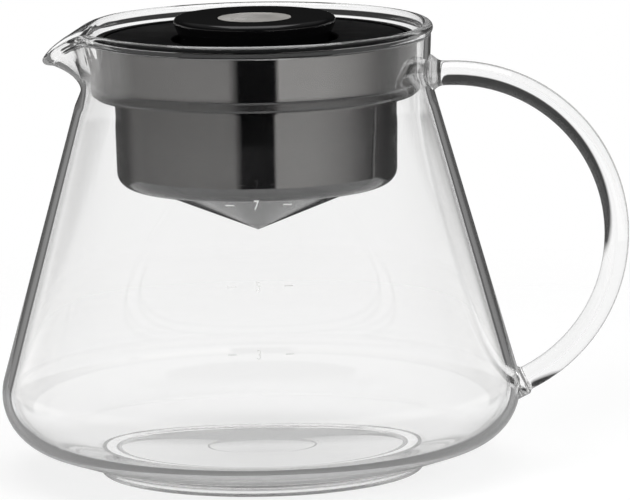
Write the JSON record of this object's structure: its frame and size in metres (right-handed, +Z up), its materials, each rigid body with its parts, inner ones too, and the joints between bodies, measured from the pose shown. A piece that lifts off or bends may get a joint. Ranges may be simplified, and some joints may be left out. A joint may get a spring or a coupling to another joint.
{
  "type": "cold brew coffee maker carafe",
  "caption": "Conical glass carafe with spout and loop handle, and a lift-out drip filter insert whose lid has a press knob that opens the valve in its cone.",
  "frame": {"origin": "centre of the glass foot ring, on the surface that it stands on", "axes": "+Z up along the carafe's axis, +X towards the handle, -X towards the spout"},
  "size_m": [0.1795, 0.1478, 0.1303],
  "materials": {
    "glass": "clear polished borosilicate",
    "black_gloss": "polished black moulding",
    "black_satin": "fine satin moulding",
    "silicone": "soft dull silicone",
    "steel_mesh": "fine woven wire",
    "knob_inlay": "smoked gloss",
    "steel": "bright stainless"
  },
  "bodies": {
    "carafe": {"carafe_base": "glass", "carafe_wall": "glass", "carafe_handle": "glass", "handle_upper_weld": "glass", "handle_lower_weld": "glass"},
    "insert": {"drip_housing": "black_gloss", "neck_gasket": "silicone", "drip_cone": "black_gloss", "cone_gasket": "silicone"},
    "valve": {"valve_stem": "black_gloss", "valve_seal": "silicone", "valve_spring": "steel", "spring_washer": "steel", "stem_clip": "steel"},
    "basket": {"filter_frame": "black_satin", "filter_sleeve": "steel_mesh", "filter_floor": "steel_mesh"},
    "lid": {"lid_plate": "black_satin", "lid_gasket": "silicone"},
    "knob": {"knob": "black_gloss", "knob_cap": "knob_inlay", "knob_screw": "steel", "push_rod": "steel", "rod_clip": "steel", "knob_spring": "steel"}
  },
  "joints": [
    {"name": "insert_lift", "type": "slide", "parent": "carafe", "child": "insert", "axis": [0, 0, 1], "range_m": [0, 0.065]},
    {"name": "valve_drop", "type": "slide", "parent": "insert", "child": "valve", "axis": [0, 0, -1], "range_m": [0, 0.003], "stiffness_N_per_m": 120, "springref_m": -0.003, "deforming": ["valve_spring"]},
    {"name": "basket_lift", "type": "slide", "parent": "insert", "child": "basket", "axis": [0, 0, 1], "range_m": [0, 0.045]},
    {"name": "lid_lift", "type": "slide", "parent": "basket", "child": "lid", "axis": [0, 0, 1], "range_m": [0, 0.04]},
    {"name": "knob_press", "type": "slide", "parent": "lid", "child": "knob", "axis": [0, 0, -1], "range_m": [0, 0.003], "stiffness_N_per_m": 250, "springref_m": -0.004, "deforming": ["knob_spring"]}
  ],
  "couplings": [
    {"joint": "valve_drop", "follows": "knob_press", "ratio": 1}
  ]
}
